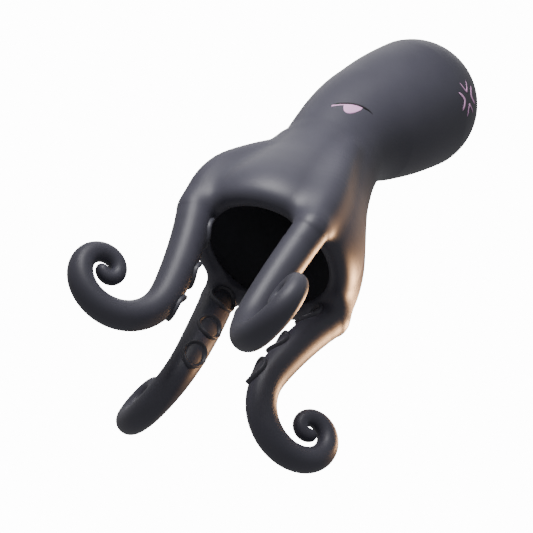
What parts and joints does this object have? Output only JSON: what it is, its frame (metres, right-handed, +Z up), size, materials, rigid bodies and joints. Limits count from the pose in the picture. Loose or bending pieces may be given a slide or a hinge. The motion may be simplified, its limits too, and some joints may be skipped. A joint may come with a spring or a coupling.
{
  "type": "octopus kite",
  "caption": "Soft octopus kite: a bell-shaped open skirt, a leaning bulbous head with heavy-lidded eyes, and curled suckered arms that bend at knuckles",
  "frame": {"origin": "middle of the bottom of the kite's bounding box at rest, at the height of the arms' lowest points; the skirt's own axis stands 15 mm to the octopus's right of it", "axes": "+Z up along the skirt's axis from the mouth to the head, -Y the way the octopus faces, +X its own left"},
  "size_m": [0.6563, 0.6588, 1.1471],
  "materials": {
    "skin": "coated cloth, satin, blue-black",
    "sucker_skin": "padded coated cloth, satin, near black",
    "lilac_patch": "matt cloth patch, pale pink-lilac",
    "lid_line": "matt cloth piping, black",
    "hoop_rod": "pultruded rod, black",
    "webbing": "woven webbing, black",
    "ring_metal": "welded steel ring, satin"
  },
  "bodies": {
    "skirt": {"web_front_left": "skin", "web_back_left": "skin", "web_back_right": "skin", "web_front_right": "skin", "neck_ring": "skin", "mouth_hoop": "hoop_rod", "shoulder_front": "skin", "shoulder_left": "skin", "shoulder_right": "skin", "shoulder_back": "skin", "sucker_front_1": "sucker_skin", "sucker_left_1": "sucker_skin", "sucker_right_1": "sucker_skin", "sucker_back_1": "sucker_skin", "tow_tab_front": "webbing", "tow_tab_back": "webbing"},
    "head": {"gore_front_left": "skin", "gore_back_left": "skin", "gore_back_right": "skin", "gore_front_right": "skin", "crown": "skin", "eye_left": "lilac_patch", "eye_right": "lilac_patch", "lid_left": "lid_line", "lid_right": "lid_line", "frown_mark_1": "lilac_patch", "frown_mark_2": "lilac_patch", "frown_mark_3": "lilac_patch", "frown_mark_4": "lilac_patch"},
    "arm_front_root": {"arm_front_root": "skin", "sucker_front_2": "sucker_skin", "sucker_front_3": "sucker_skin"},
    "arm_front_middle": {"arm_front_middle": "skin"},
    "arm_front_coil": {"arm_front_coil": "skin"},
    "arm_left_root": {"arm_left_root": "skin", "sucker_left_2": "sucker_skin", "sucker_left_3": "sucker_skin"},
    "arm_left_middle": {"arm_left_middle": "skin"},
    "arm_left_coil": {"arm_left_coil": "skin"},
    "arm_right_root": {"arm_right_root": "skin", "sucker_right_2": "sucker_skin", "sucker_right_3": "sucker_skin"},
    "arm_right_middle": {"arm_right_middle": "skin"},
    "arm_right_coil": {"arm_right_coil": "skin"},
    "arm_back_root": {"arm_back_root": "skin", "sucker_back_2": "sucker_skin", "sucker_back_3": "sucker_skin"},
    "arm_back_middle": {"arm_back_middle": "skin"},
    "arm_back_coil": {"arm_back_coil": "skin"},
    "tow_ring_front": {"tow_ring_front": "ring_metal"},
    "tow_ring_back": {"tow_ring_back": "ring_metal"}
  },
  "joints": [
    {"name": "neck_nod", "type": "hinge", "parent": "skirt", "child": "head", "pos_m": [-0.0146, 0.0025, 0.73231], "axis": [1, 0, 0], "range_deg": [-8, 8], "stiffness_Nm_per_rad": 40},
    {"name": "front_root_bend", "type": "hinge", "parent": "skirt", "child": "arm_front_root", "pos_m": [-0.01919, -0.1521, 0.27799], "axis": [-0.9996, 0.0297, 0], "range_deg": [-16, 16], "stiffness_Nm_per_rad": 30},
    {"name": "front_middle_bend", "type": "hinge", "parent": "arm_front_root", "child": "arm_front_middle", "pos_m": [-0.01897, -0.14478, 0.08841], "axis": [-0.9996, 0.0297, 0], "range_deg": [-18, 18], "stiffness_Nm_per_rad": 22},
    {"name": "front_coil_bend", "type": "hinge", "parent": "arm_front_middle", "child": "arm_front_coil", "pos_m": [-0.02228, -0.25626, 0.03232], "axis": [-0.9996, 0.0297, 0], "range_deg": [-24, 8], "stiffness_Nm_per_rad": 4},
    {"name": "left_root_bend", "type": "hinge", "parent": "skirt", "child": "arm_left_root", "pos_m": [0.14338, 0.00553, 0.27652], "axis": [0.0192, -0.9998, 0], "range_deg": [-16, 16], "stiffness_Nm_per_rad": 30},
    {"name": "left_middle_bend", "type": "hinge", "parent": "arm_left_root", "child": "arm_left_middle", "pos_m": [0.14301, 0.00553, 0.08574], "axis": [0.0192, -0.9998, 0], "range_deg": [-18, 18], "stiffness_Nm_per_rad": 22},
    {"name": "left_coil_bend", "type": "hinge", "parent": "arm_left_middle", "child": "arm_left_coil", "pos_m": [0.25713, 0.00772, 0.03348], "axis": [0.0192, -0.9998, 0], "range_deg": [-24, 8], "stiffness_Nm_per_rad": 4},
    {"name": "right_root_bend", "type": "hinge", "parent": "skirt", "child": "arm_right_root", "pos_m": [-0.16363, -0.00036, 0.28061], "axis": [-0.0192, 0.9998, 0], "range_deg": [-16, 16], "stiffness_Nm_per_rad": 30},
    {"name": "right_middle_bend", "type": "hinge", "parent": "arm_right_root", "child": "arm_right_middle", "pos_m": [-0.14457, 0, 0.09333], "axis": [-0.0192, 0.9998, 0], "range_deg": [-18, 18], "stiffness_Nm_per_rad": 22},
    {"name": "right_coil_bend", "type": "hinge", "parent": "arm_right_middle", "child": "arm_right_coil", "pos_m": [-0.2515, -0.00205, 0.03084], "axis": [-0.0192, 0.9998, 0], "range_deg": [-24, 8], "stiffness_Nm_per_rad": 4},
    {"name": "back_root_bend", "type": "hinge", "parent": "skirt", "child": "arm_back_root", "pos_m": [-0.00791, 0.15561, 0.27865], "axis": [0.999, -0.0436, 0], "range_deg": [-16, 16], "stiffness_Nm_per_rad": 30},
    {"name": "back_middle_bend", "type": "hinge", "parent": "arm_back_root", "child": "arm_back_middle", "pos_m": [-0.00836, 0.14534, 0.08964], "axis": [0.999, -0.0436, 0], "range_deg": [-18, 18], "stiffness_Nm_per_rad": 22},
    {"name": "back_coil_bend", "type": "hinge", "parent": "arm_back_middle", "child": "arm_back_coil", "pos_m": [-0.00355, 0.25562, 0.03194], "axis": [0.999, -0.0436, 0], "range_deg": [-24, 8], "stiffness_Nm_per_rad": 4},
    {"name": "tow_ring_front_swing", "type": "hinge", "parent": "skirt", "child": "tow_ring_front", "pos_m": [-0.0146, -0.15577, 0.46581], "axis": [0, 1, 0], "range_deg": [-60, 60]},
    {"name": "tow_ring_back_swing", "type": "hinge", "parent": "skirt", "child": "tow_ring_back", "pos_m": [-0.0146, 0.16077, 0.46581], "axis": [0, 1, 0], "range_deg": [-60, 60]}
  ]
}
